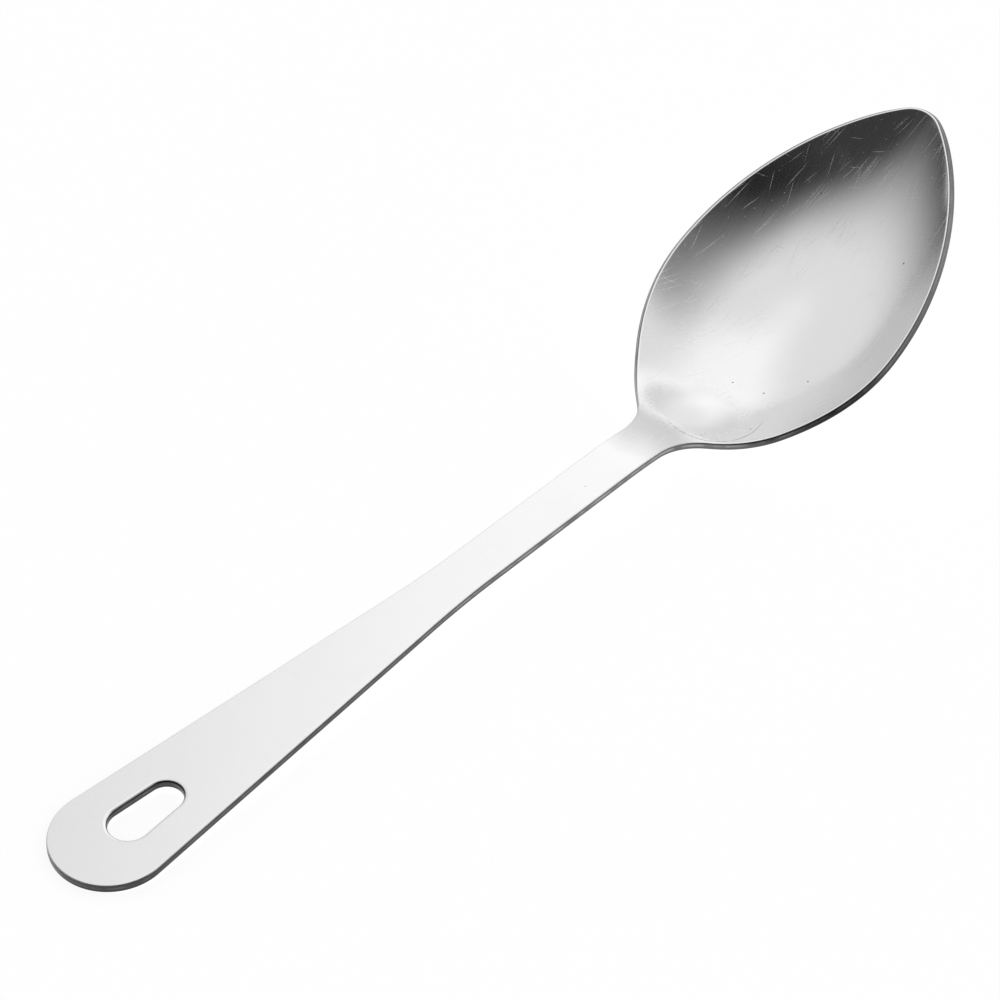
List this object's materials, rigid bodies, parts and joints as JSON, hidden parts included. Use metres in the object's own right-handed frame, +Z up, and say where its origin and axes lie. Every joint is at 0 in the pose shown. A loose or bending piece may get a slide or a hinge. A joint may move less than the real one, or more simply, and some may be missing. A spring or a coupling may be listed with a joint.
{
  "type": "serving spoon",
  "caption": "Solid serving spoon pressed from stainless sheet: deep pointed bowl, flared neck and flat tapering handle with a hanging slot.",
  "frame": {"origin": "on the table under the middle of the spoon's box, the spoon lying on the belly of its bowl and the end of its handle", "axes": "+X from the handle towards the tip of the bowl, +Y to the left, +Z up out of the hollow of the bowl"},
  "size_m": [0.2814, 0.0662, 0.0515],
  "materials": {
    "polished_stainless": "polished stainless steel with fine wear scratches"
  },
  "bodies": {
    "root": {"handle": "polished_stainless", "neck": "polished_stainless", "bowl": "polished_stainless"}
  },
  "joints": []
}
